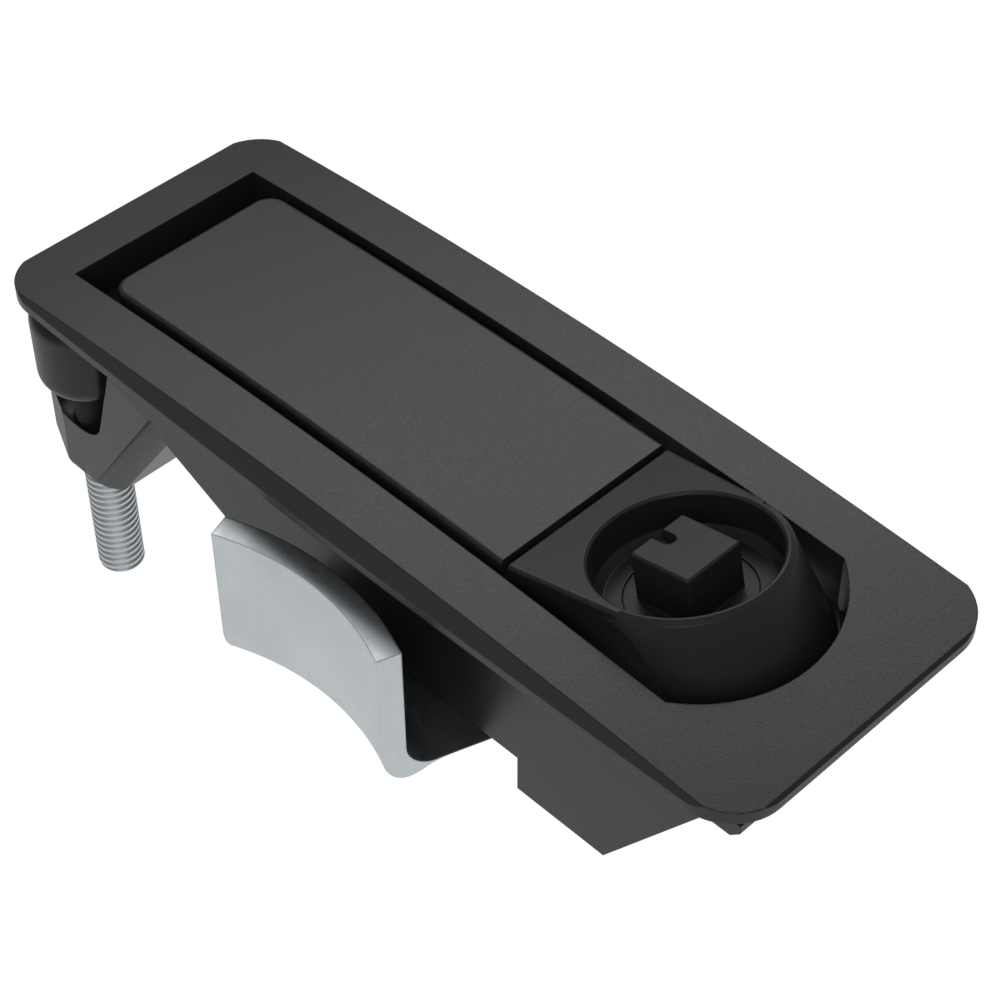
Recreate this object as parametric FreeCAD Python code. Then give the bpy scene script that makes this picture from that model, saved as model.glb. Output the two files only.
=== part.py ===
import FreeCAD, Part
import math
import os

V = FreeCAD.Vector

# Lever compression latch for a panel cut-out, millimetres.
# X runs along the latch towards the lock, Y across it, Z outwards.
# Z = 0 is the flange's underside, which lies on the panel.

# how far a cutting body runs past what it cuts
overcut = 40.0

# flange
flange_half_length = 57.0
flange_half_width = 20.0
crown_radius = 738.0
crown_top = 3.7
rim_height = 1.1
side_draft = 23.0
flange_corner = 6.5
end_bevel = 0.35

# pocket in the flange
pocket_half_width = 13.5
pocket_end_wall = 6.8
pocket_left = -(flange_half_length - pocket_end_wall)
pocket_floor = -3.4
lock_x = 32.0
pocket_end_radius = 16.7

# housing below the flange
wall = 2.0
cutout_left = pocket_left - wall
cutout_right = 50.3
housing_bottom = -20.0
lock_bay_left = 23.7
lock_bay_right = 36.4
lock_bay_bottom = -25.1
lip_right = 53.8
lip_top = -4.3
lip_bottom = -6.66
lip_nose = 1.2
ramp_foot = 49.3
window_half_width = 7.5
window_top = -11.5
notch_x = -34.1
notch_z = -12.5
slope_foot = -18.0
bay_left = -17.5
step_x = -39.8
floor_thickness = 1.7

# clamps at the finger end
clamp_end_inset = 3.6
clamp_side_inset = 4.3
clamp_x = -(flange_half_length - clamp_end_inset)
clamp_y = pocket_half_width + wall - clamp_side_inset
clamp_block_left = clamp_x - 7.6
clamp_block_right = clamp_x + 5.4
clamp_block_bottom = -32.1
clamp_block_top = -17.3
clamp_block_toe = clamp_x - 3.4
clamp_block_heel = -29.3
clamp_facet_x = clamp_x - 3.0
clamp_facet_turn = 20.0
clamp_corner = 5.0
clamp_taper = 1.3
head_radius = 6.5
head_top = -5.2
head_height = 11.7
head_rounding = 2.2
head_play = 0.95
head_travel = 3.0
bowl_floor = -23.6
bowl_rounding = 5.0
bowl_lean = 19.0
roof_bottom = -4.7
screw_radius = 3.0
screw_bottom = -49.6
screw_grip = 8.0
screw_chamfer = 0.5

# lever
finger_gap = 4.7
lever_left = pocket_left + finger_gap
lever_right = 18.0
lever_side_gap = 1.2
lever_half_width = pocket_half_width - lever_side_gap
lever_underside = 0.7
lever_corner = 2.6
lever_edge = 0.6
rib_left = lever_left + 5.5
rib_depth = 2.0
rib_thickness = 1.4
lever_open = 80.0

# lever hinge and crank
pivot_x = 8.5
pivot_z = -1.9
hinge_radius = 1.5
running_gap = 0.05
press_gap = 0.02
knuckle_radius = 2.5
cheek_inner = 4.0
cheek_thickness = 2.2
crank_length = 12.0
crank_start = -27.0
crank_radius = 1.25
crank_boss = 2.6
ring_thickness = 0.6
ring_reach = 1.1
spring_wire = 0.5
spring_turns = 10

# carriage and its guide channel
carriage_drop = 6.03
carriage_shift = 4.2
carriage_plate = 3.0
slot_gap = 0.15
slot_wall = 1.5
carriage_top = -4.0
carriage_bottom = -23.2
carriage_left = -17.2
carriage_right = 0.6
channel_corner_z = -8.3
carriage_side_gap = 0.4
channel_corner_y = -(pocket_half_width - carriage_side_gap)
channel_width = 9.0
channel_gap = 0.08
guide_left = -15.6
guide_pitch = 12.0
guide_thickness = 2.5
guide_top = -3.0
platform_right = 13.0
platform_thickness = 3.0
catch_right = 25.6
catch_top = -13.2
catch_thickness = 1.9
web_drop = 6.0

# pawl
pawl_x = 0.85
pawl_thickness = 2.9
pawl_top = -4.3
pawl_face_y = -23.3
pawl_bow = 33.0
pawl_half_width = 12.9
pawl_end_y = -26.0
pawl_end_splay = 19.0
pawl_foot_splay = 3.0
pawl_bend = 3.7
pawl_shoulder_y = -12.0
pawl_tail_y = 5.4
pawl_tail_half = 11.0
pawl_screw_middle = 0.0
pawl_screw_pitch = 16.0
pawl_screw_y = 1.0
pawl_screw_radius = 2.0
pawl_screw_head = 3.6
pawl_screw_head_height = 2.2
pawl_screw_socket = 2.5
pawl_screw_socket_depth = 1.3
screw_head_edge = 0.6
washer_thickness = 0.8
washer_radius = 4.3

# lock housing, built along its own axis and leaned back
lock_lean = 12.0
lock_top = 6.2
seam_gap = 0.85
lever_tail_gap = 0.3
well_rim = 10.0
well_foot = 9.5
well_depth = 5.0
cone_rim = 11.0
cone_slope = 0.29
cone_depth = 13.5
rim_rounding = 0.45
insert_side_gap = 1.3
insert_half_width = pocket_half_width - insert_side_gap
cone_half_width = insert_half_width - 0.8
ramp_edge = 0.5
insert_end_gap = 0.4
insert_bottom = -3.5
insert_base_top = -2.9
insert_skin = 1.9
well_floor_thickness = 2.0
sleeve_radius = 8.0
sleeve_depth = 16.5
lug_x = 22.7
lug_y = insert_half_width - 2.3
lug_radius = 2.7
pad_left = 20.2
pad_right = 25.2
pad_inner = 7.2
pad_thickness = 2.6
fixing_radius = 1.5
fixing_head = 2.7
fixing_head_height = 1.9
fixing_grip = 2.4
fixing_socket = 2.0
fixing_socket_depth = 1.1

# lock core, tongue and their fasteners
core_radius = 6.0
collar_radius = 7.0
collar_thickness = 1.5
collar_sink = 0.15
driver_size = 8.0
driver_corner = 0.45
driver_proud = 0.7
driver_edge = 0.25
driver_slot_width = 1.7
driver_slot_length = 2.6
driver_slot_depth = 1.6
seal_depth = 10.0
seal_wire = 0.6
seal_edge = 0.32
core_ring_thickness = 0.8
core_ring_reach = 1.3
core_ring_mouth = 4.4
tongue_depth = 20.0
tongue_thickness = 1.8
tongue_end_gap = 0.7
tongue_length = pocket_half_width - tongue_end_gap
tongue_half_width = 2.5
tongue_hub = 5.5
tongue_square = 7.0
tongue_washer_radius = 5.0
tongue_screw_radius = 2.0
tongue_screw_head = 3.6
tongue_screw_head_height = 2.3
tongue_screw_grip = 7.0
tongue_screw_socket = 2.5
tongue_screw_socket_depth = 1.4

os.makedirs("parts", exist_ok=True)


def box(x0, x1, y0, y1, z0, z1):
    return Part.makeBox(x1 - x0, y1 - y0, z1 - z0, V(x0, y0, z0))


def face_of(points):
    return Part.Face(Part.makePolygon(points + [points[0]]))


def side_plate(points, y0, y1):
    """A plate drawn in the X-Z plane and y1 - y0 thick."""
    return face_of([V(x, y0, z) for x, z in points]).extrude(V(0, y1 - y0, 0))


def cross_plate(points, x0, x1):
    """A plate drawn in the Y-Z plane and x1 - x0 thick."""
    return face_of([V(x0, y, z) for y, z in points]).extrude(V(x1 - x0, 0, 0))


def flat_plate(points, z0, z1):
    """A plate drawn in the X-Y plane and z1 - z0 thick."""
    return face_of([V(x, y, z0) for x, y in points]).extrude(V(0, 0, z1 - z0))


def rod(x, y, z0, z1, radius):
    return Part.makeCylinder(radius, z1 - z0, V(x, y, z0), V(0, 0, 1))


def cross_rod(x, z, y0, y1, radius):
    return Part.makeCylinder(radius, y1 - y0, V(x, y0, z), V(0, 1, 0))


def turned(points, x, y):
    """A body turned about the vertical line through x, y, from radius and height pairs."""
    face = face_of([V(x + r, y, z) for r, z in points])
    return face.revolve(V(x, y, 0), V(0, 0, 1), 360)


def save(name, shape):
    shape = shape.removeSplitter()
    solids = len(shape.Solids)
    print(name, "solids", solids, "volume", round(shape.Volume, 1), "valid", shape.isValid())
    shape.exportStep("parts/" + name + ".step")


def crown_z(x):
    return crown_top - crown_radius + math.sqrt(crown_radius ** 2 - x ** 2)


def rim_half_width(x):
    return flange_half_width + (crown_z(x) - rim_height) * math.tan(math.radians(side_draft))


def to_lock(shape):
    """Leans a shape built about the Z axis back onto the lock's axis."""
    shape.rotate(V(0, 0, 0), V(0, 1, 0), -lock_lean)
    shape.translate(V(lock_x, 0, lock_top))
    return shape


def outline_with_arc(left, half_width, end_radius):
    """The pocket's outline: a rectangle whose right end is an arc about the lock."""
    reach = math.sqrt(end_radius ** 2 - half_width ** 2)
    near = V(lock_x + reach, -half_width, 0)
    far = V(lock_x + reach, half_width, 0)
    tip = V(lock_x + end_radius, 0, 0)
    edges = [
        Part.makeLine(V(left, -half_width, 0), near),
        Part.Arc(near, tip, far).toShape(),
        Part.makeLine(far, V(left, half_width, 0)),
        Part.makeLine(V(left, half_width, 0), V(left, -half_width, 0)),
    ]
    return Part.Face(Part.Wire(edges))


def pocket_prism(z0, z1):
    face = outline_with_arc(pocket_left, pocket_half_width, pocket_end_radius)
    face.translate(V(0, 0, z0))
    return face.extrude(V(0, 0, z1 - z0))


def flange_plan():
    """The rim's outline: straight ends, gently bowed sides and round corners."""
    end = flange_half_length
    side = rim_half_width(end)
    middle = rim_half_width(0)
    edges = [
        Part.Arc(V(-end, -side, 0), V(0, -middle, 0), V(end, -side, 0)).toShape(),
        Part.makeLine(V(end, -side, 0), V(end, side, 0)),
        Part.Arc(V(end, side, 0), V(0, middle, 0), V(-end, side, 0)).toShape(),
        Part.makeLine(V(-end, side, 0), V(-end, -side, 0)),
    ]
    prism = Part.Face(Part.Wire(edges)).extrude(V(0, 0, crown_top + 1))
    corners = [e for e in prism.Edges if e.BoundBox.ZLength > crown_top]
    return prism.makeFillet(flange_corner, corners)


def side_band():
    """What the drafted side band leaves off above the rim, on the +Y side."""
    end = flange_half_length + 3
    ends = crown_z(end)
    middle = V(0, flange_half_width, crown_top)
    arc = Part.Arc(V(-end, flange_half_width, ends), middle, V(end, flange_half_width, ends))
    high = crown_top + 12
    sides = Part.makePolygon(
        [
            V(end, flange_half_width, ends),
            V(end, flange_half_width, high),
            V(-end, flange_half_width, high),
            V(-end, flange_half_width, ends),
        ]
    )
    face = Part.Face(Part.Wire([arc.toShape()] + sides.Edges))
    spread = 3.0
    slab = face.extrude(V(0, spread, -spread / math.tan(math.radians(side_draft))))
    return slab.common(box(-end, end, 0, 40, rim_height, 40))


def flange():
    body = flange_plan()
    body = body.common(cross_rod(0, crown_top - crown_radius, -30, 30, crown_radius))
    band = side_band()
    body = body.cut(band)
    body = body.cut(band.mirror(V(0, 0, 0), V(0, 1, 0)))
    end_top = crown_z(flange_half_length)
    for sx in (-1, 1):
        edge = [
            (sx * (flange_half_length - end_bevel), end_top + 1.0),
            (sx * (flange_half_length - end_bevel), end_top + 0.02),
            (sx * flange_half_length, end_top - end_bevel),
            (sx * (flange_half_length + 1.0), end_top - end_bevel),
            (sx * (flange_half_length + 1.0), end_top + 1.0),
        ]
        body = body.cut(side_plate(edge, -30, 30))
    return body


def housing_walls():
    """The block below the flange, before it is hollowed."""
    points = [
        (cutout_left, 0.3),
        (cutout_left, clamp_block_top),
        (clamp_block_left, clamp_block_top),
        (clamp_block_left, clamp_block_heel),
        (clamp_block_toe, clamp_block_bottom),
        (clamp_block_right, clamp_block_bottom),
        (notch_x, notch_z),
        (slope_foot, housing_bottom),
        (lock_bay_left, housing_bottom),
        (lock_bay_left, lock_bay_bottom),
        (lock_bay_right, lock_bay_bottom),
        (ramp_foot, lip_bottom),
        (lip_right - lip_nose, lip_bottom),
        (lip_right, lip_bottom + lip_nose),
        (lip_right, lip_top),
        (cutout_right, lip_top),
        (cutout_right, 0.3),
    ]
    outer = pocket_half_width + wall
    return side_plate(points, -outer, outer)


def clamp_flank():
    """What tapers the clamp block's near side, to be cut away; mirrored for the far side."""
    outer = pocket_half_width + wall
    a = V(-43.6, -outer, -8.9)
    b = V(notch_x, -outer, notch_z)
    c = V(clamp_block_toe, -outer + clamp_taper, clamp_block_bottom)
    normal = (b - a).cross(c - a)
    if normal.y > 0:
        normal = normal * -1
    normal.normalize()
    slab = Part.makeBox(60, 60, 12, V(-30, -30, 0))
    turn = FreeCAD.Rotation(V(0, 0, 1), normal)
    slab.Placement = FreeCAD.Placement(a, turn)
    keep = box(-70, notch_x, -40, 0, -60, -1.0)
    return slab.common(keep)


def clamp_facet():
    """What turns the clamp block's near side in towards its left end."""
    y = -pocket_half_width - wall + clamp_taper * 0.75
    wedge = box(-30, 0, -20, 0, clamp_block_bottom - 1, clamp_block_top + 1)
    wedge.rotate(V(0, 0, 0), V(0, 0, 1), -clamp_facet_turn)
    wedge.translate(V(clamp_facet_x, y, 0))
    return wedge


def clamp_corner_tool():
    """Rounds the clamp block's near right edge, along its slope."""
    outer = pocket_half_width + wall
    face_y = -outer + clamp_taper
    cx = clamp_block_right - clamp_corner
    cy = face_y + clamp_corner
    square = box(cx, cx + 12, cy - 12, cy, clamp_block_bottom - 2.0, clamp_block_bottom - 1.9)
    square = square.cut(rod(cx, cy, clamp_block_bottom - 3, clamp_block_bottom, clamp_corner))
    profile = [f for f in square.Faces if abs(f.normalAt(0, 0).z) > 0.9][0]
    run = V(notch_x - clamp_block_right, 0, notch_z - clamp_block_bottom)
    keep = box(clamp_block_left, notch_x, -overcut, 0, clamp_block_bottom - 3, notch_z + 3)
    return profile.extrude(run * 1.2).common(keep)


def clamp_bowl(y):
    """The flared recess round a clamp head: a cone above a dished floor."""
    lean = math.radians(bowl_lean)
    low_z = head_top - head_height + head_rounding - head_travel
    mid_z = bowl_floor + bowl_rounding
    back = (bowl_rounding - (mid_z - low_z) * math.sin(lean)) / math.cos(lean)
    dish_r = head_radius + head_play - back
    wall_r = dish_r + bowl_rounding * math.cos(lean)
    wall_z = mid_z - bowl_rounding * math.sin(lean)
    top_r = wall_r + (roof_bottom - wall_z) * math.tan(lean)
    bend = math.radians(45 + bowl_lean / 2)
    arc_r = dish_r + bowl_rounding * math.cos(bend)
    arc_z = mid_z - bowl_rounding * math.sin(bend)
    edges = [
        Part.makeLine(V(0, 0, roof_bottom), V(top_r, 0, roof_bottom)),
        Part.makeLine(V(top_r, 0, roof_bottom), V(wall_r, 0, wall_z)),
        Part.Arc(V(wall_r, 0, wall_z), V(arc_r, 0, arc_z), V(dish_r, 0, bowl_floor)).toShape(),
        Part.makeLine(V(dish_r, 0, bowl_floor), V(0, 0, bowl_floor)),
        Part.makeLine(V(0, 0, bowl_floor), V(0, 0, roof_bottom)),
    ]
    bowl = Part.Face(Part.Wire(edges)).revolve(V(0, 0, 0), V(0, 0, 1), 360)
    bowl.translate(V(clamp_x, y, 0))
    return bowl


def housing_cavity():
    slope = (housing_bottom - notch_z) / (slope_foot - notch_x)
    floor_at = notch_z + floor_thickness
    points = [
        (pocket_left - 1, overcut),
        (pocket_left - 1, pocket_floor),
        (step_x, pocket_floor),
        (step_x, floor_at),
        (notch_x, floor_at),
        (bay_left, floor_at + slope * (bay_left - notch_x)),
        (bay_left, -overcut),
        (lock_bay_right - 2.4, -overcut),
        (lock_bay_right - 2.4, lock_bay_bottom),
        (lock_bay_right - 1.65, lock_bay_bottom + 1.15),
        (46.9, insert_bottom - pad_thickness),
        (43.0, insert_bottom - pad_thickness),
        (43.0, insert_bottom),
        (lock_x + overcut, insert_bottom),
        (lock_x + overcut, overcut),
    ]
    return pocket_prism(-overcut, overcut).common(side_plate(points, -overcut, overcut))


def channel_y(z):
    """The left edge of the carriage's path at a height, with the carriage at rest."""
    return channel_corner_y + (channel_corner_z - z) * carriage_shift / carriage_drop


def channel_points(gap, top, bottom):
    lean = gap * math.hypot(carriage_shift, carriage_drop) / carriage_drop
    return [
        (channel_y(top) - lean, top),
        (channel_y(top) + channel_width + lean, top),
        (channel_y(bottom) + channel_width + lean, bottom),
        (channel_y(bottom) - lean, bottom),
    ]


def guide_ribs():
    """Two ribs across the bay; the carriage runs down the slanting channel through both."""
    ribs = None
    for i in range(2):
        x = guide_left + i * guide_pitch
        rib = box(x, x + guide_thickness, -pocket_half_width, pocket_half_width, housing_bottom, guide_top)
        rib = rib.cut(cross_plate(channel_points(channel_gap, 5, -30), x - 1, x + guide_thickness + 1))
        ribs = rib if ribs is None else ribs.fuse(rib)
    return ribs


def insert_pads():
    """Ledges that the lock housing stands on."""
    pads = None
    for sy in (-1, 1):
        y0 = sy * pad_inner
        y1 = sy * (pocket_half_width + 0.5)
        pad = box(pad_left, pad_right, min(y0, y1), max(y0, y1), insert_bottom - pad_thickness, insert_bottom)
        pads = pad if pads is None else pads.fuse(pad)
    return pads


def bezel_housing():
    body = housing_walls()
    for tool in (clamp_flank(), clamp_facet(), clamp_corner_tool()):
        body = body.cut(tool)
        body = body.cut(tool.mirror(V(0, 0, 0), V(0, 1, 0)))
    body = body.fuse(flange())
    body = body.cut(housing_cavity())
    window = box(lock_bay_right - 5, ramp_foot, -window_half_width, window_half_width, -22.5, window_top)
    body = body.cut(window)
    body = body.fuse(guide_ribs())
    body = body.fuse(insert_pads())
    for sy in (-1, 1):
        y = sy * clamp_y
        body = body.cut(clamp_bowl(y))
        body = body.cut(rod(clamp_x, y, clamp_block_bottom - 1, bowl_floor + 1, screw_radius + running_gap))
    reach = pocket_half_width + wall
    body = body.cut(cross_rod(pivot_x, pivot_z, -reach - 1, reach + 1, hinge_radius + press_gap))
    for x, y in fixing_places():
        body = body.cut(rod(x, y, -9, insert_bottom + 1, fixing_radius + 0.1))
    save("bezel_housing", body)


def clamp_parts(side, y):
    stud = rod(clamp_x, y, screw_bottom, head_top - head_height + screw_grip, screw_radius)
    edges = [e for e in stud.Edges if e.BoundBox.ZMax < screw_bottom + 0.1]
    stud = stud.makeChamfer(screw_chamfer, edges)
    save(side + "_clamp_screw", stud)
    head = rod(clamp_x, y, head_top - head_height, head_top, head_radius)
    rims = [e for e in head.Edges if e.BoundBox.ZLength < 0.01]
    head = head.makeFillet(head_rounding, rims)
    socket_top = head_top - head_height + screw_grip + press_gap
    head = head.cut(rod(clamp_x, y, head_top - head_height - 1, socket_top, screw_radius + press_gap))
    save(side + "_clamp_head", head)


def crank_place(angle):
    a = math.radians(crank_start - angle)
    return pivot_x + crank_length * math.cos(a), pivot_z + crank_length * math.sin(a)


def lever_cheek(y0, y1):
    pin_x, pin_z = crank_place(0)
    arm = math.radians(crank_start)
    side = V(-math.sin(arm), 0, math.cos(arm))
    points = [
        (pivot_x + side.x * knuckle_radius, pivot_z + side.z * knuckle_radius),
        (pin_x + side.x * crank_boss, pin_z + side.z * crank_boss),
        (pin_x - side.x * crank_boss, pin_z - side.z * crank_boss),
        (pivot_x - side.x * knuckle_radius, pivot_z - side.z * knuckle_radius),
    ]
    cheek = side_plate(points, y0, y1)
    cheek = cheek.fuse(cross_rod(pivot_x, pivot_z, y0, y1, knuckle_radius))
    cheek = cheek.fuse(cross_rod(pin_x, pin_z, y0, y1, crank_boss))
    gusset = [
        (pivot_x - 2 * knuckle_radius, lever_underside + 0.2),
        (pivot_x - knuckle_radius, pivot_z),
        (pivot_x + knuckle_radius, pivot_z),
        (pivot_x + 2 * knuckle_radius, lever_underside + 0.2),
    ]
    return cheek.fuse(side_plate(gusset, y0, y1))


def lever():
    outline = [
        (lever_left, -lever_half_width),
        (lever_right, -lever_half_width),
        (lever_right, lever_half_width),
        (lever_left, lever_half_width),
    ]
    body = flat_plate(outline, lever_underside, 9)
    corners = [
        e for e in body.Edges if e.BoundBox.ZLength > 5 and abs(e.BoundBox.XMin - lever_left) < 0.01
    ]
    body = body.makeFillet(lever_corner, corners)
    crown = cross_rod(0, crown_top - crown_radius, -20, 20, crown_radius)
    body = body.common(crown)
    sides = [
        e
        for e in body.Edges
        if e.BoundBox.ZMin > lever_underside + 0.5
        and e.BoundBox.YMax - e.BoundBox.YMin < 0.01
    ]
    ends = [
        e
        for e in body.Edges
        if e.BoundBox.ZMin > lever_underside + 0.5
        and e.BoundBox.XMax < lever_left + lever_corner + 0.1
        and e.BoundBox.YLength > 0.01
    ]
    body = body.makeFillet(lever_edge, sides + ends)
    for sy in (-1, 1):
        y = sy * (cheek_inner + cheek_thickness + 1.0)
        y0 = min(y, y + sy * rib_thickness)
        rib_bottom = lever_underside - rib_depth
        rib = box(rib_left, pivot_x - 4, y0, y0 + rib_thickness, rib_bottom, lever_underside + 0.2)
        body = body.fuse(rib)
    for y0 in (-cheek_inner - cheek_thickness, cheek_inner):
        body = body.fuse(lever_cheek(y0, y0 + cheek_thickness))
    body = body.cut(cross_rod(pivot_x, pivot_z, -20, 20, hinge_radius + running_gap))
    pin_x, pin_z = crank_place(0)
    body = body.cut(cross_rod(pin_x, pin_z, -20, 20, crank_radius + press_gap))
    save("lever", body)


def hinge_parts():
    reach = pocket_half_width + wall - 0.1
    pin = cross_rod(pivot_x, pivot_z, -reach, reach, hinge_radius)
    cheek_outer = cheek_inner + cheek_thickness
    groove = hinge_radius - 0.3
    clips = []
    for sy in (-1, 1):
        y = sy * (cheek_outer + 0.15 + ring_thickness / 2)
        y0 = y - ring_thickness / 2
        wide = cross_rod(pivot_x, pivot_z, y0, y0 + ring_thickness, hinge_radius + 1)
        pin = pin.cut(wide.cut(cross_rod(pivot_x, pivot_z, y0, y0 + ring_thickness, groove)))
        clip = cross_rod(pivot_x, pivot_z, y0 + 0.03, y0 + ring_thickness - 0.03, hinge_radius + ring_reach)
        clip = clip.cut(cross_rod(pivot_x, pivot_z, y0, y0 + ring_thickness, groove + 0.01))
        clip = clip.cut(box(pivot_x - 0.8, pivot_x + 0.8, y0, y0 + ring_thickness, pivot_z - 5, pivot_z))
        clips.append(clip)
    save("hinge_pin", pin)
    save("hinge_pin_clips", Part.makeCompound(clips))
    pin_x, pin_z = crank_place(0)
    save("crank_pin", cross_rod(pin_x, pin_z, -cheek_outer, cheek_outer, crank_radius))


def lever_spring():
    """Closely wound coil round the hinge pin between the lever's cheeks."""
    inner = hinge_radius + 0.1
    half = spring_turns * spring_wire / 2
    mean = inner + spring_wire / 2
    points = [(inner, half), (inner, -half), (mean, -half)]
    for i in range(spring_turns):
        z = -half + i * spring_wire
        points.append((inner + spring_wire, z + spring_wire * 0.3))
        points.append((inner + spring_wire, z + spring_wire * 0.7))
        points.append((mean, z + spring_wire))
    coil = turned(points, 0, 0)
    coil.rotate(V(0, 0, 0), V(1, 0, 0), 90)
    coil.translate(V(pivot_x, 0, pivot_z))
    leg_y = half - spring_wire / 2
    leg_x = pivot_x - mean
    leg = Part.makeCylinder(spring_wire / 2, 3.5, V(leg_x, -leg_y, pivot_z - 0.6), V(-0.5, 0, 0.75))
    leg = leg.common(box(-50, 50, -20, 20, -20, lever_underside - 0.02))
    other = Part.makeCylinder(spring_wire / 2, 5.0, V(leg_x, leg_y, pivot_z), V(-0.1, 0, -1))
    save("lever_spring", coil.fuse(leg).fuse(other))


def slot_point(angle):
    """The crank pin's centre in the resting carriage's frame, at a lever angle."""
    x, z = crank_place(angle)
    return x, z + carriage_drop * angle / lever_open


def slot_band(half, y0, y1):
    """A plate round the slot's centre line, half wide on either side."""
    steps = 10
    points = [slot_point(lever_open * i / steps) for i in range(steps + 1)]
    left = []
    right = []
    for i in range(steps + 1):
        x0, z0 = points[max(i - 1, 0)]
        x1, z1 = points[min(i + 1, steps)]
        length = math.hypot(x1 - x0, z1 - z0)
        nx = -(z1 - z0) / length * half
        nz = (x1 - x0) / length * half
        left.append(V(points[i][0] + nx, y0, points[i][1] + nz))
        right.append(V(points[i][0] - nx, y0, points[i][1] - nz))
    upper = Part.BSplineCurve()
    upper.interpolate(left)
    lower = Part.BSplineCurve()
    lower.interpolate(right[::-1])
    edges = [
        upper.toShape(),
        Part.makeLine(left[-1], right[-1]),
        lower.toShape(),
        Part.makeLine(right[0], left[0]),
    ]
    band = Part.Face(Part.Wire(edges)).extrude(V(0, y1 - y0, 0))
    for x, z in (points[0], points[-1]):
        band = band.fuse(cross_rod(x, z, y0, y1, half))
    return band


def carriage():
    body_points = [
        (channel_corner_y, carriage_top),
        (channel_y(carriage_top) + channel_width, carriage_top),
        (channel_y(carriage_bottom) + channel_width, carriage_bottom),
        (channel_y(carriage_bottom), carriage_bottom),
        (channel_corner_y, channel_corner_z),
    ]
    body = cross_plate(body_points, carriage_left, carriage_right)
    plate_y = -carriage_shift / 2 - carriage_plate / 2
    y0 = plate_y
    y1 = plate_y + carriage_plate
    rim = crank_radius + slot_gap + slot_wall
    low_z = carriage_bottom + platform_thickness
    end_x, end_z = slot_point(0)
    start_x, start_z = slot_point(lever_open)
    web = [
        (carriage_right - 1, low_z - 1),
        (carriage_right - 1, channel_corner_z - web_drop),
        (start_x - rim + 0.3, start_z - 1.0),
        (start_x, start_z - rim + 0.5),
        (end_x, end_z - rim + 0.5),
        (end_x + 1.0, end_z - rim + 0.6),
        (end_x + 1.6, catch_top),
        (catch_right, catch_top),
        (catch_right, catch_top - catch_thickness),
        (end_x - 1.0, catch_top - catch_thickness),
        (platform_right, low_z - 1),
    ]
    body = body.fuse(side_plate(web, y0, y1))
    body = body.fuse(slot_band(rim, y0, y1))
    body = body.cut(slot_band(crank_radius + slot_gap, y0 - 1, y1 + 1))
    shelf_y = channel_y(low_z)
    shelf = box(carriage_right - 1, platform_right, shelf_y, shelf_y + channel_width, carriage_bottom, low_z)
    body = body.fuse(shelf)
    tongue_pad = box(end_x + 2.2, catch_right, y0 - 1.0, y1 + 2.0, catch_top - catch_thickness, catch_top)
    body = body.fuse(tongue_pad)
    for x in pawl_screw_places():
        body = body.cut(rod(x, pawl_screw_y, carriage_bottom - 1, low_z - 0.1, pawl_screw_radius + press_gap))
    save("carriage", body)


def pawl_screw_places():
    return [pawl_screw_middle - pawl_screw_pitch / 2, pawl_screw_middle + pawl_screw_pitch / 2]


def pawl_blank(top, bottom):
    """The side cuts: square to the bowed arm, and nearly straight along the plate's underside."""
    wires = []
    for z, splay in ((pawl_top + 1, pawl_end_splay), (top, pawl_end_splay), (bottom, pawl_foot_splay)):
        slope = math.tan(math.radians(splay))
        near = pawl_end_y - 6.0
        far = pawl_tail_y + 2.0
        w0 = pawl_half_width + (near - pawl_end_y) * slope
        w1 = pawl_half_width + (far - pawl_end_y) * slope
        points = [
            V(pawl_x - w0, near, z),
            V(pawl_x + w0, near, z),
            V(pawl_x + w1, far, z),
            V(pawl_x - w1, far, z),
        ]
        wires.append(Part.makePolygon(points + [points[0]]))
    return Part.makeLoft(wires, True, True)


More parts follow.
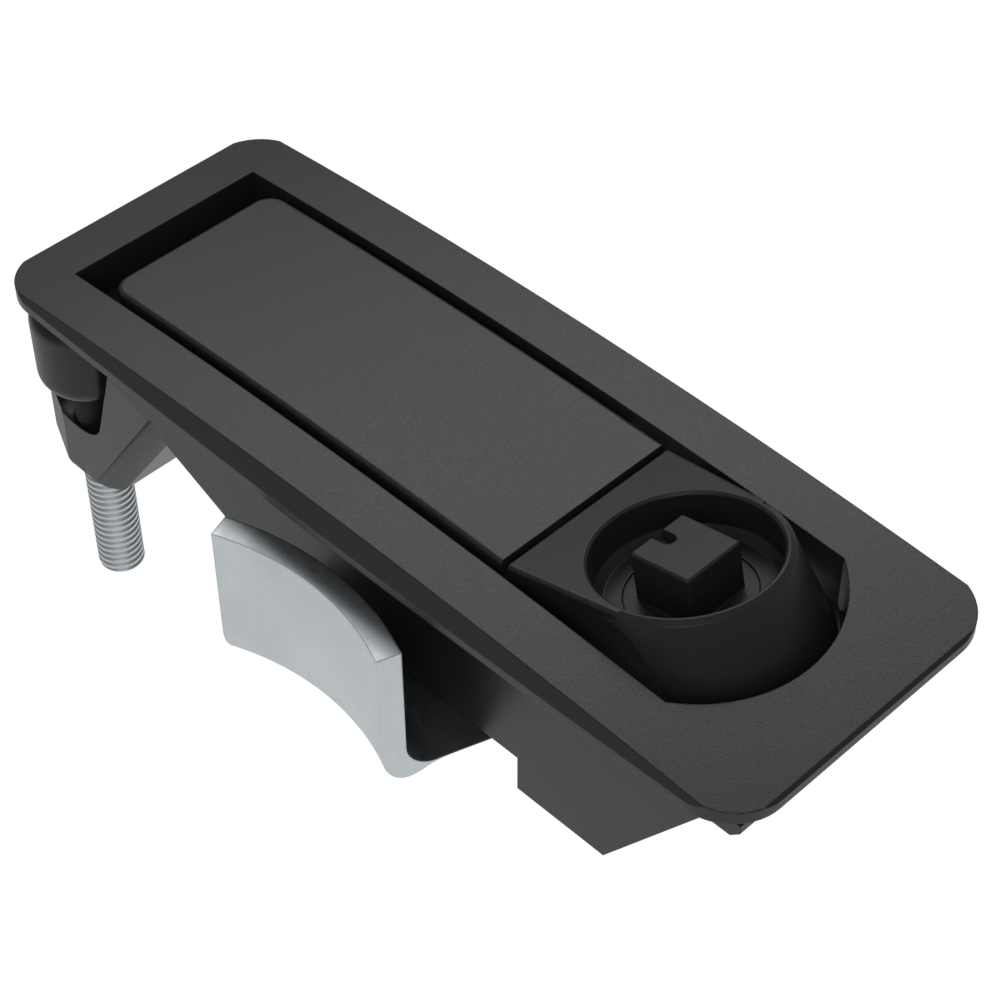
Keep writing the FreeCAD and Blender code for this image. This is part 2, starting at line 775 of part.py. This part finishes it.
def pawl():
    centre_y = pawl_face_y - pawl_bow
    top = carriage_bottom
    bottom = top - pawl_thickness
    inner = pawl_bow + pawl_thickness
    bend_r = inner + pawl_bend
    bend_z = top + pawl_bend
    outer_bend = pawl_bend + pawl_thickness
    half = math.radians(45)

    def at(r, z):
        return V(pawl_x, centre_y + r, z)

    inner_mid = at(bend_r - pawl_bend * math.cos(half), bend_z - pawl_bend * math.sin(half))
    outer_mid = at(bend_r - outer_bend * math.cos(half), bend_z - outer_bend * math.sin(half))
    edges = [
        Part.makeLine(at(pawl_bow, pawl_top), at(inner, pawl_top)),
        Part.makeLine(at(inner, pawl_top), at(inner, bend_z)),
        Part.Arc(at(inner, bend_z), inner_mid, at(bend_r, top)).toShape(),
        Part.makeLine(at(bend_r, top), at(bend_r + 1.5, top)),
        Part.makeLine(at(bend_r + 1.5, top), at(bend_r + 1.5, bottom)),
        Part.makeLine(at(bend_r + 1.5, bottom), at(bend_r, bottom)),
        Part.Arc(at(bend_r, bottom), outer_mid, at(pawl_bow, bend_z)).toShape(),
        Part.makeLine(at(pawl_bow, bend_z), at(pawl_bow, pawl_top)),
    ]
    profile = Part.Face(Part.Wire(edges))
    axis = V(pawl_x, centre_y, 0)
    profile.rotate(axis, V(0, 0, 1), -30)
    leg = profile.revolve(axis, V(0, 0, 1), 60)
    far_half = pawl_half_width + (pawl_shoulder_y - pawl_end_y) * math.tan(math.radians(pawl_end_splay))
    plan = [
        (pawl_x - far_half, centre_y + bend_r * math.cos(math.radians(30))),
        (pawl_x - far_half, pawl_shoulder_y),
        (pawl_x - pawl_tail_half, pawl_tail_y),
        (pawl_x + pawl_tail_half, pawl_tail_y),
        (pawl_x + far_half, pawl_shoulder_y),
        (pawl_x + far_half, centre_y + bend_r * math.cos(math.radians(30))),
    ]
    plate = flat_plate(plan, bottom, top)
    plate = plate.cut(rod(pawl_x, centre_y, bottom - 1, top + 1, bend_r))
    body = leg.fuse(plate).common(pawl_blank(top, bottom))
    for x in pawl_screw_places():
        body = body.cut(rod(x, pawl_screw_y, bottom - 1, top + 1, pawl_screw_radius + 0.2))
    save("pawl", body)
    washers = []
    screws = []
    for x in pawl_screw_places():
        washer = rod(x, pawl_screw_y, bottom - washer_thickness, bottom, washer_radius)
        hole = rod(x, pawl_screw_y, bottom - washer_thickness - 1, bottom + 1, pawl_screw_radius + 0.1)
        washers.append(washer.cut(hole))
        head_z = bottom - washer_thickness
        head = rod(x, pawl_screw_y, head_z - pawl_screw_head_height, head_z, pawl_screw_head)
        rim = [e for e in head.Edges if e.BoundBox.ZMax < head_z - 1]
        head = head.makeChamfer(screw_head_edge, [e for e in rim if e.BoundBox.XLength > 1])
        shank = rod(x, pawl_screw_y, head_z - 0.5, top + platform_thickness - 0.4, pawl_screw_radius)
        screw = head.fuse(shank)
        socket_z = head_z - pawl_screw_head_height
        socket = hex_socket(x, pawl_screw_y, socket_z, pawl_screw_socket, pawl_screw_socket_depth)
        screws.append(screw.cut(socket))
    save("pawl_washers", Part.makeCompound(washers))
    save("pawl_screws", Part.makeCompound(screws))


def hex_socket(x, y, z, across, depth):
    """A hexagon recess going up from height z."""
    r = across / math.sqrt(3)
    points = []
    for i in range(6):
        a = math.radians(60 * i)
        points.append((x + r * math.cos(a), y + r * math.sin(a)))
    return flat_plate(points, z - 0.5, z + depth)


def fixing_places():
    return [(lug_x, -lug_y), (lug_x, lug_y)]


def lock_cone(skin=0.0):
    rim = cone_rim + rim_rounding * 0.3 - skin
    points = [
        (0, 0),
        (rim - rim_rounding * 1.3, 0),
        (rim, -rim_rounding),
        (rim + cone_slope * cone_depth, -rim_rounding - cone_depth),
        (0, -rim_rounding - cone_depth),
    ]
    return to_lock(turned(points, 0, 0))


def lock_ramp():
    """The flat top that rises from the seam to the rim, narrowing to meet the cone."""
    x0 = lever_right + seam_gap
    x1 = lock_x + 1.0
    w0 = insert_half_width
    w1 = cone_rim + 0.2
    prism = flat_plate([(x0, -w0), (x1, -w1), (x1, w1), (x0, w0)], insert_base_top - 0.4, 20)
    prism = prism.common(to_lock(Part.makeBox(60, 60, 30, V(-30, -30, -30))))
    edges = [e for e in prism.Edges if e.BoundBox.XLength > 5 and e.BoundBox.ZMin > insert_base_top + 3]
    return prism.makeFillet(ramp_edge, edges)


def lock_housing():
    x0 = lever_right + seam_gap
    base = outline_with_arc(x0, insert_half_width, pocket_end_radius - insert_end_gap)
    base.translate(V(0, 0, insert_bottom))
    base = base.extrude(V(0, 0, insert_base_top - insert_bottom))
    cone = lock_cone().common(box(x0, 60, -cone_half_width, cone_half_width, insert_base_top - 1, 20))
    inside = outline_with_arc(x0, insert_half_width, pocket_end_radius - insert_end_gap)
    inside.translate(V(0, 0, insert_bottom))
    cone = cone.common(inside.extrude(V(0, 0, 30)))
    body = base.fuse(cone).fuse(lock_ramp())
    hollow = outline_with_arc(
        x0 + 2.6, insert_half_width - insert_skin, pocket_end_radius - insert_end_gap - insert_skin
    )
    hollow.translate(V(0, 0, insert_bottom - 1))
    hollow = hollow.extrude(V(0, 0, 20))
    below_floor = Part.makeBox(80, 80, 40, V(-40, -40, -well_depth - well_floor_thickness - 40))
    hollow = hollow.common(to_lock(below_floor)).common(lock_cone(insert_skin))
    for x, y in fixing_places():
        hollow = hollow.cut(rod(x, y, insert_bottom - 2, 20, lug_radius))
    body = body.cut(hollow)
    sleeve = to_lock(rod(0, 0, -sleeve_depth, -well_depth - 1, sleeve_radius))
    body = body.fuse(sleeve)
    well = [
        (0, 3),
        (well_rim + 0.3, 3),
        (well_rim + 0.3, 0.0),
        (well_rim, -0.3),
        (well_foot + 0.4, -well_depth + 1.0),
        (well_foot - 0.5, -well_depth),
        (0, -well_depth),
    ]
    body = body.cut(to_lock(turned(well, 0, 0)))
    body = body.cut(to_lock(rod(0, 0, -sleeve_depth - 1, 0, core_radius + running_gap)))
    recess = collar_thickness + collar_sink
    body = body.cut(to_lock(rod(0, 0, -well_depth - recess, 0, collar_radius + running_gap)))
    tail = math.hypot(lever_right - pivot_x, crown_z(lever_right) - pivot_z)
    body = body.cut(cross_rod(pivot_x, pivot_z, -overcut, overcut, tail + lever_tail_gap))
    for x, y in fixing_places():
        hole_top = insert_bottom + fixing_grip + 0.2
        body = body.cut(rod(x, y, insert_bottom - 1, hole_top, fixing_radius + press_gap))
    save("lock_housing", body)


def lock_fixings():
    screws = []
    head_z = insert_bottom - pad_thickness
    for x, y in fixing_places():
        head = rod(x, y, head_z - fixing_head_height, head_z, fixing_head)
        rim = [e for e in head.Edges if e.BoundBox.ZMax < head_z - 1 and e.BoundBox.XLength > 1]
        head = head.makeChamfer(screw_head_edge, rim)
        screw = head.fuse(rod(x, y, head_z - 0.5, insert_bottom + fixing_grip, fixing_radius))
        socket = hex_socket(x, y, head_z - fixing_head_height, fixing_socket, fixing_socket_depth)
        screws.append(screw.cut(socket))
    save("lock_housing_screws", Part.makeCompound(screws))


def lock_core():
    half = driver_size / 2
    driver = box(-half, half, -half, half, -well_depth - collar_sink - 0.5, driver_proud)
    upright = [e for e in driver.Edges if e.BoundBox.ZLength > driver_proud]
    driver = driver.makeFillet(driver_corner, upright)
    crest = [e for e in driver.Edges if e.BoundBox.ZMin > driver_proud - 0.01]
    driver = driver.makeChamfer(driver_edge, crest)
    slot_half = driver_slot_width / 2
    slot_end = -half + driver_slot_length - slot_half
    slot = box(-half - 1, slot_end, -slot_half, slot_half, driver_proud - driver_slot_depth, driver_proud + 1)
    slot = slot.fuse(rod(slot_end, 0, driver_proud - driver_slot_depth, driver_proud + 1, slot_half))
    driver = driver.cut(slot)
    top = -well_depth - collar_sink
    collar = rod(0, 0, top - collar_thickness, top, collar_radius)
    ring_top = -sleeve_depth - 0.1
    barrel = rod(0, 0, -tongue_depth, top - 0.5, core_radius)
    square_half = tongue_square / 2
    square_end = -tongue_depth - tongue_thickness
    square = box(-square_half, square_half, -square_half, square_half, square_end, -tongue_depth + 1)
    square = square.common(rod(0, 0, -overcut, 0, square_half * 1.22))
    body = driver.fuse(collar).fuse(barrel).fuse(square)
    seal_top = -seal_depth + seal_wire
    seal_cut = rod(0, 0, seal_top - 2 * seal_wire, seal_top, core_radius + 1)
    body = body.cut(seal_cut.cut(rod(0, 0, -seal_depth - 5, 0, core_radius - 2 * seal_wire)))
    ring_cut = rod(0, 0, ring_top - core_ring_thickness, ring_top, core_radius + 1)
    body = body.cut(ring_cut.cut(rod(0, 0, -tongue_depth, 0, core_radius - 0.6)))
    hole = rod(0, 0, -overcut, -tongue_depth + tongue_screw_grip, tongue_screw_radius + press_gap)
    body = body.cut(hole)
    save("lock_core", to_lock(body))
    seal = rod(0, 0, seal_top - 2 * seal_wire + press_gap, seal_top - press_gap, core_radius)
    seal = seal.cut(rod(0, 0, -overcut, 0, core_radius - 2 * (seal_wire - press_gap)))
    seal = seal.makeChamfer(seal_edge, [e for e in seal.Edges if e.BoundBox.ZLength < 0.01])
    save("core_seal", to_lock(seal))
    ring = rod(0, 0, ring_top - core_ring_thickness + 0.05, ring_top - 0.05, core_radius + core_ring_reach)
    ring = ring.cut(rod(0, 0, -tongue_depth, 0, core_radius - 0.58))
    ring = ring.cut(box(0, overcut, -core_ring_mouth / 2, core_ring_mouth / 2, -tongue_depth, 0))
    save("core_clip", to_lock(ring))


def lock_tongue():
    under = -tongue_depth - tongue_thickness
    hub = rod(0, 0, under, -tongue_depth, tongue_hub)
    w = tongue_half_width
    arm = box(-w, w, 0, tongue_length, under, -tongue_depth)
    tips = [e for e in arm.Edges if e.BoundBox.ZLength > 1 and e.BoundBox.YMin > tongue_length - 0.1]
    body = hub.fuse(arm.makeFillet(0.8, tips))
    half = tongue_square / 2 + press_gap
    hole = box(-half, half, -half, half, -overcut, 0)
    hole = hole.common(rod(0, 0, -overcut, 0, tongue_square / 2 * 1.22 + press_gap))
    save("lock_tongue", to_lock(body.cut(hole)))
    washer_low = under - washer_thickness
    washer = rod(0, 0, washer_low, under, tongue_washer_radius)
    washer = washer.cut(rod(0, 0, washer_low - 1, under + 1, tongue_screw_radius + 0.15))
    save("tongue_washer", to_lock(washer))
    head = rod(0, 0, washer_low - tongue_screw_head_height, washer_low, tongue_screw_head)
    rim = [e for e in head.Edges if e.BoundBox.ZMax < washer_low - 1 and e.BoundBox.XLength > 1]
    head = head.makeChamfer(screw_head_edge, rim)
    shank = rod(0, 0, washer_low - 0.5, -tongue_depth + tongue_screw_grip - 0.5, tongue_screw_radius)
    screw = head.fuse(shank)
    socket_z = washer_low - tongue_screw_head_height
    screw = screw.cut(hex_socket(0, 0, socket_z, tongue_screw_socket, tongue_screw_socket_depth))
    save("tongue_screw", to_lock(screw))


bezel_housing()
clamp_parts("near", -clamp_y)
clamp_parts("far", clamp_y)
lever()
hinge_parts()
lever_spring()
carriage()
pawl()
lock_housing()
lock_fixings()
lock_core()
lock_tongue()
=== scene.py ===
import bpy
import math
from mathutils import Matrix, Vector

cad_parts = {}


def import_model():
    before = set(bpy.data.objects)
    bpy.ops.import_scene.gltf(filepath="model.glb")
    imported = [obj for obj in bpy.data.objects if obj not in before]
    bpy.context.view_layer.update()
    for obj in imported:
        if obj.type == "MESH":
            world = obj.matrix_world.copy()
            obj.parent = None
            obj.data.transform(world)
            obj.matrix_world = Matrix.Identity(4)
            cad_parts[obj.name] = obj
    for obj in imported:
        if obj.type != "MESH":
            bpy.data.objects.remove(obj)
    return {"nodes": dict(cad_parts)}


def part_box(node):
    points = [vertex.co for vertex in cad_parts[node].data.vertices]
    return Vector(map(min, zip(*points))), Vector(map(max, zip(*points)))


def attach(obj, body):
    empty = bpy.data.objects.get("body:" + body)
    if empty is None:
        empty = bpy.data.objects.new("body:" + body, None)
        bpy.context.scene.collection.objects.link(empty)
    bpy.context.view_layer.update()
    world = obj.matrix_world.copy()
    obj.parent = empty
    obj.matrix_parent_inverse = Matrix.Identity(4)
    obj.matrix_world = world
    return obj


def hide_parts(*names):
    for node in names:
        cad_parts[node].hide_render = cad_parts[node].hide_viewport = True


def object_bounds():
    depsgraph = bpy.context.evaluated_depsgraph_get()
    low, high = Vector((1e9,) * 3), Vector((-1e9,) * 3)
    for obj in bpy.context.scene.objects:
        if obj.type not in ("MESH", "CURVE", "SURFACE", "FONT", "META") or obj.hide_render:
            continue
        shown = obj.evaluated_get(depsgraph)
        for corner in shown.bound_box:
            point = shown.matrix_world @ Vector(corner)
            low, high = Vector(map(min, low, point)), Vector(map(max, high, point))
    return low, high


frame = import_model()
cad_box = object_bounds()

MM = 0.001

# the photograph's camera, in the part's frame
CAMERA_PLACE = Vector((142.467, -135.077, 186.95)) * MM
CAMERA_AZIMUTH = 45.376
CAMERA_ELEVATION = 44.955
CAMERA_ROLL = -0.331
CAMERA_LENS = 90.08
CAMERA_SENSOR = 36
CAMERA_NEAR = 0.01
CAMERA_FAR = 20

# surface finishes: tones, grain sizes as noise scales, and relief
BLACK = (0.026, 0.026, 0.027)
ZINC = (0.77, 0.82, 0.85)
CAST_GREY = (0.36, 0.37, 0.38)
SPRING_GREY = (0.45, 0.45, 0.46)
RUBBER_DARK = (0.012, 0.012, 0.012)
RUBBER_LIGHT = (0.022, 0.022, 0.022)
MOULDED_GRAIN = 4200
MOULDED_CLOUDS = 55
PLATED_GRAIN = 900
PLATED_CLOUDS = 90
RUBBER_GRAIN = 1500
PLATED_BUMP = 0.06
BUMP_HEIGHT = 0.02 * MM
EDGE_SAMPLES = 6

# clamp screw threads, and the plain shank that runs up from the bowl's floor, near-black as
# painted shade inside the bowl
THREAD_PITCH = 1.0 * MM
THREAD_DEPTH = 0.46 * MM
THREAD_ROWS = 12
THREAD_COLUMNS = 48
THREAD_CHAMFER = 0.7 * MM
THREAD_INSET = 0.02 * MM
ROOT_SHARE = 0.06
FLANK_SHARE = 0.52
SHANK_BOTTOM = -24.2 * MM

# floor, studio and lights
FLOOR_SIZE = 3.0
FLOOR_DROP = 45 * MM
FLOOR_TONE = 0.85
FLOOR_ROUGHNESS = 0.9
FLOOR_GLOW = 0.72
FLOOR_GLOW_REACH = 0.6
FLOOR_GLOW_SHARE = 0.95
FLOOR_WHITE = 1.045
STUDIO_GLOW = 0.2
STUDIO_WHITE = 1.0
LIGHT_AIM = (0, 0, -10)


def link(tree, source, target):
    tree.links.new(source, target)


def new_material(name):
    material = bpy.data.materials.new(name)
    material.use_nodes = True
    tree = material.node_tree
    shader = next(n for n in tree.nodes if n.type == "BSDF_PRINCIPLED")
    return material, tree, shader


def noise(tree, coordinates, scale, detail):
    node = tree.nodes.new("ShaderNodeTexNoise")
    node.inputs["Scale"].default_value = scale
    node.inputs["Detail"].default_value = detail
    link(tree, coordinates.outputs["Object"], node.inputs["Vector"])
    return node.outputs["Fac"]


def spread(tree, source, low, high):
    """Maps the middle of a noise factor's range onto low to high."""
    node = tree.nodes.new("ShaderNodeMapRange")
    node.inputs["From Min"].default_value = 0.3
    node.inputs["From Max"].default_value = 0.7
    node.inputs["To Min"].default_value = low
    node.inputs["To Max"].default_value = high
    link(tree, source, node.inputs["Value"])
    return node.outputs["Result"]


def soft_edges(tree, radius):
    node = tree.nodes.new("ShaderNodeBevel")
    node.samples = EDGE_SAMPLES
    node.inputs["Radius"].default_value = radius
    return node.outputs["Normal"]


def bumped(tree, height, strength, normal):
    node = tree.nodes.new("ShaderNodeBump")
    node.inputs["Strength"].default_value = strength
    node.inputs["Distance"].default_value = BUMP_HEIGHT
    link(tree, height, node.inputs["Height"])
    link(tree, normal, node.inputs["Normal"])
    return node.outputs["Normal"]


def tinted(tree, factor, dark, light, target):
    node = tree.nodes.new("ShaderNodeMix")
    node.data_type = "RGBA"
    node.inputs["A"].default_value = (*dark, 1)
    node.inputs["B"].default_value = (*light, 1)
    link(tree, factor, node.inputs["Factor"])
    link(tree, node.outputs["Result"], target)


def scaled(tone, factor):
    return [min(1.0, c * factor) for c in tone]


def moulded(name, tone, rough, edge, grain=0.6):
    """Black moulded or powder-coated surface with a fine even grain."""
    material, tree, shader = new_material(name)
    coordinates = tree.nodes.new("ShaderNodeTexCoord")
    fine = noise(tree, coordinates, MOULDED_GRAIN, 3)
    clouds = spread(tree, noise(tree, coordinates, MOULDED_CLOUDS, 2), 0, 1)
    tinted(tree, clouds, scaled(tone, 0.93), scaled(tone, 1.07), shader.inputs["Base Color"])
    link(tree, spread(tree, fine, rough - 0.04, rough + 0.05), shader.inputs["Roughness"])
    link(tree, bumped(tree, fine, grain, soft_edges(tree, edge)), shader.inputs["Normal"])
    shader.inputs["Specular IOR Level"].default_value = 0.5
    return material


def plated(name, tone, rough, edge):
    """Bare or zinc-plated metal: smooth and faintly mottled."""
    material, tree, shader = new_material(name)
    coordinates = tree.nodes.new("ShaderNodeTexCoord")
    fine = noise(tree, coordinates, PLATED_GRAIN, 4)
    clouds = spread(tree, noise(tree, coordinates, PLATED_CLOUDS, 3), 0, 1)
    tinted(tree, clouds, scaled(tone, 0.95), scaled(tone, 1.04), shader.inputs["Base Color"])
    link(tree, spread(tree, fine, rough - 0.03, rough + 0.04), shader.inputs["Roughness"])
    link(tree, bumped(tree, fine, PLATED_BUMP, soft_edges(tree, edge)), shader.inputs["Normal"])
    shader.inputs["Metallic"].default_value = 1.0
    return material


def rubber(name):
    material, tree, shader = new_material(name)
    coordinates = tree.nodes.new("ShaderNodeTexCoord")
    fine = noise(tree, coordinates, RUBBER_GRAIN, 2)
    tinted(tree, fine, RUBBER_DARK, RUBBER_LIGHT, shader.inputs["Base Color"])
    link(tree, spread(tree, fine, 0.6, 0.75), shader.inputs["Roughness"])
    return material


head_black = moulded("head_black", scaled(BLACK, 0.85), 0.34, 0.2 * MM, 0.15)
# painted shade: the shank inside the bowl is near-black and rough so it reads as the bowl's
# shade
shank_painted_shade = moulded("shank_painted_shade", scaled(BLACK, 0.3), 0.7, 0.1 * MM, 0.1)
zinc_plate = plated("zinc_plate", ZINC, 0.42, 0.25 * MM)
zinc_thread = plated("zinc_thread", ZINC, 0.45, 0.08 * MM)
zinc_small = plated("zinc_small", scaled(ZINC, 0.92), 0.33, 0.1 * MM)

FINISH = {
    "bezel_housing": moulded("housing_black", BLACK, 0.34, 0.22 * MM),
    "lever": moulded("lever_black", BLACK, 0.34, 0.15 * MM),
    "lock_housing": moulded("lock_black", scaled(BLACK, 0.9), 0.34, 0.2 * MM),
    "lock_core": moulded("core_black", scaled(BLACK, 0.95), 0.36, 0.28 * MM),
    "near_clamp_head": head_black,
    "far_clamp_head": head_black,
    "pawl": zinc_plate,
    "lock_tongue": zinc_plate,
    "carriage": plated("cast_grey", CAST_GREY, 0.5, 0.2 * MM),
    "lever_spring": plated("spring_steel", SPRING_GREY, 0.3, 0.05 * MM),
    "core_seal": rubber("seal_rubber"),
}

for name, node in frame["nodes"].items():
    material = FINISH.get(name, zinc_small)
    for i in range(len(node.material_slots)):
        node.material_slots[i].material = material
    if not node.material_slots:
        node.data.materials.append(material)


def thread_radius(turn, crest, root):
    """Radius at a place within one pitch: a narrow root, straight flanks and a broad crest."""
    away = abs(turn - 0.5) * 2.0
    ramp = min(1.0, max(0.0, (away - ROOT_SHARE) / FLANK_SHARE))
    return root + (crest - root) * ramp


def threaded_screw(name, cad_node, body):
    """A clamp screw with its rolled thread, in the place of the plain one."""
    low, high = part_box(cad_node)
    x = (low[0] + high[0]) / 2
    y = (low[1] + high[1]) / 2
    crest = (high[0] - low[0]) / 2 - THREAD_INSET
    root = crest - THREAD_DEPTH
    length = high[2] - low[2]
    step = THREAD_PITCH / THREAD_ROWS
    rows = int(length / step) + 1
    points = []
    for row in range(rows):
        z = min(low[2] + row * step, high[2])
        lead = crest - THREAD_CHAMFER + (z - low[2])
        for column in range(THREAD_COLUMNS):
            angle = 2 * math.pi * column / THREAD_COLUMNS
            turn = ((z / THREAD_PITCH) - column / THREAD_COLUMNS) % 1.0
            radius = min(thread_radius(turn, crest, root), lead)
            if z > SHANK_BOTTOM:
                radius = crest
            points.append((x + radius * math.cos(angle), y + radius * math.sin(angle), z))
    faces = []
    for row in range(rows - 1):
        for column in range(THREAD_COLUMNS):
            a = row * THREAD_COLUMNS + column
            b = row * THREAD_COLUMNS + (column + 1) % THREAD_COLUMNS
            faces.append((a, b, b + THREAD_COLUMNS, a + THREAD_COLUMNS))
    faces.append(tuple(reversed(range(THREAD_COLUMNS))))
    faces.append(tuple(range((rows - 1) * THREAD_COLUMNS, rows * THREAD_COLUMNS)))
    mesh = bpy.data.meshes.new(name)
    mesh.from_pydata(points, [], faces)
    mesh.materials.append(zinc_thread)
    mesh.materials.append(shank_painted_shade)
    for polygon in mesh.polygons:
        polygon.use_smooth = len(polygon.vertices) == 4
        # faces above the bowl's floor get the painted-shade shank material
        polygon.material_index = 1 if polygon.center.z > SHANK_BOTTOM else 0
    screw = bpy.data.objects.new(name, mesh)
    bpy.context.scene.collection.objects.link(screw)
    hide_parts(cad_node)
    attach(screw, body)


threaded_screw("near_clamp_thread", "near_clamp_screw", "near_clamp")
threaded_screw("far_clamp_thread", "far_clamp_screw", "far_clamp")


def camera():
    azimuth = math.radians(CAMERA_AZIMUTH)
    elevation = math.radians(CAMERA_ELEVATION)
    roll = math.radians(CAMERA_ROLL)
    level = math.cos(elevation)
    back = Vector((math.sin(azimuth) * level, -math.cos(azimuth) * level, math.sin(elevation)))
    right = (-back).cross(Vector((0, 0, 1))).normalized()
    up = right.cross(-back)
    turned_right = right * math.cos(roll) + up * math.sin(roll)
    turned_up = up * math.cos(roll) - right * math.sin(roll)
    data = bpy.data.cameras.new("camera")
    data.lens = CAMERA_LENS
    data.sensor_width = CAMERA_SENSOR
    data.clip_start = CAMERA_NEAR
    data.clip_end = CAMERA_FAR
    place = Matrix((turned_right, turned_up, back)).transposed().to_4x4()
    place.translation = CAMERA_PLACE
    shot = bpy.data.objects.new("camera", data)
    shot.matrix_world = place
    bpy.context.scene.collection.objects.link(shot)
    bpy.context.scene.camera = shot


def maths(tree, operation, first, second):
    """A maths node between sockets or plain numbers."""
    node = tree.nodes.new("ShaderNodeMath")
    node.operation = operation
    for i, value in enumerate((first, second)):
        if isinstance(value, bpy.types.NodeSocket):
            link(tree, value, node.inputs[i])
        else:
            node.inputs[i].default_value = value
    return node.outputs[0]


def floor_glow(tree, path):
    """White to the camera; in reflections it fades with the distance from the object."""
    coordinates = tree.nodes.new("ShaderNodeTexCoord")
    flat = tree.nodes.new("ShaderNodeVectorMath")
    flat.operation = "MULTIPLY"
    flat.inputs[1].default_value = (1 / FLOOR_GLOW_REACH, 1 / FLOOR_GLOW_REACH, 0)
    link(tree, coordinates.outputs["Object"], flat.inputs[0])
    away = tree.nodes.new("ShaderNodeVectorMath")
    away.operation = "DOT_PRODUCT"
    link(tree, flat.outputs["Vector"], away.inputs[0])
    link(tree, flat.outputs["Vector"], away.inputs[1])
    fade = maths(tree, "ADD", away.outputs["Value"], 1.0)
    strength = tree.nodes.new("ShaderNodeMix")
    strength.data_type = "FLOAT"
    link(tree, path.outputs["Is Camera Ray"], strength.inputs["Factor"])
    link(tree, maths(tree, "DIVIDE", FLOOR_GLOW, fade), strength.inputs["A"])
    strength.inputs["B"].default_value = FLOOR_WHITE
    glow = tree.nodes.new("ShaderNodeEmission")
    glow.inputs["Color"].default_value = (1, 1, 1, 1)
    link(tree, strength.outputs["Result"], glow.inputs["Strength"])
    return glow


def floor():
    z = cad_box[0][2] - FLOOR_DROP
    s = FLOOR_SIZE
    mesh = bpy.data.meshes.new("floor")
    mesh.from_pydata([(-s, -s, z), (s, -s, z), (s, s, z), (-s, s, z)], [], [(0, 1, 2, 3)])
    material, tree, shader = new_material("floor_white")
    shader.inputs["Base Color"].default_value = (FLOOR_TONE, FLOOR_TONE, FLOOR_TONE, 1)
    shader.inputs["Roughness"].default_value = FLOOR_ROUGHNESS
    shader.inputs["Specular IOR Level"].default_value = 0.0
    path = tree.nodes.new("ShaderNodeLightPath")
    seen = maths(tree, "MAXIMUM", path.outputs["Is Camera Ray"], path.outputs["Is Glossy Ray"])
    mix = tree.nodes.new("ShaderNodeMixShader")
    link(tree, maths(tree, "MULTIPLY", seen, FLOOR_GLOW_SHARE), mix.inputs["Fac"])
    link(tree, shader.outputs["BSDF"], mix.inputs[1])
    link(tree, floor_glow(tree, path).outputs["Emission"], mix.inputs[2])
    output = next(n for n in tree.nodes if n.type == "OUTPUT_MATERIAL")
    link(tree, mix.outputs["Shader"], output.inputs["Surface"])
    mesh.materials.append(material)
    ground = bpy.data.objects.new("floor", mesh)
    bpy.context.scene.collection.objects.link(ground)


def area_light(name, place, size, power):
    """A soft box at a place in millimetres that faces the object."""
    data = bpy.data.lights.new(name, "AREA")
    data.shape = "RECTANGLE"
    data.size = size[0]
    data.size_y = size[1]
    data.energy = power
    lamp = bpy.data.objects.new(name, data)
    lamp.location = Vector(place) * MM
    direction = (Vector(LIGHT_AIM) - Vector(place)).normalized()
    lamp.rotation_euler = direction.to_track_quat("-Z", "Y").to_euler()
    bpy.context.scene.collection.objects.link(lamp)


def world():
    """A dim studio that is white only where the camera sees past the floor."""
    surroundings = bpy.data.worlds.new("studio")
    bpy.context.scene.world = surroundings
    surroundings.use_nodes = True
    tree = surroundings.node_tree
    background = next(n for n in tree.nodes if n.type == "BACKGROUND")
    path = tree.nodes.new("ShaderNodeLightPath")
    pick = tree.nodes.new("ShaderNodeMix")
    pick.data_type = "FLOAT"
    link(tree, path.outputs["Is Camera Ray"], pick.inputs["Factor"])
    pick.inputs["A"].default_value = STUDIO_GLOW
    pick.inputs["B"].default_value = STUDIO_WHITE
    background.inputs["Color"].default_value = (1, 1, 1, 1)
    link(tree, pick.outputs["Result"], background.inputs["Strength"])


camera()
floor()
world()
area_light("back_softbox", (-255, 285, 430), (0.52, 0.27), 0.84)
area_light("front_softbox", (260, -330, 330), (0.3, 0.3), 0.42)

bpy.context.scene.view_settings.view_transform = "Standard"

bpy.context.view_layer.update()
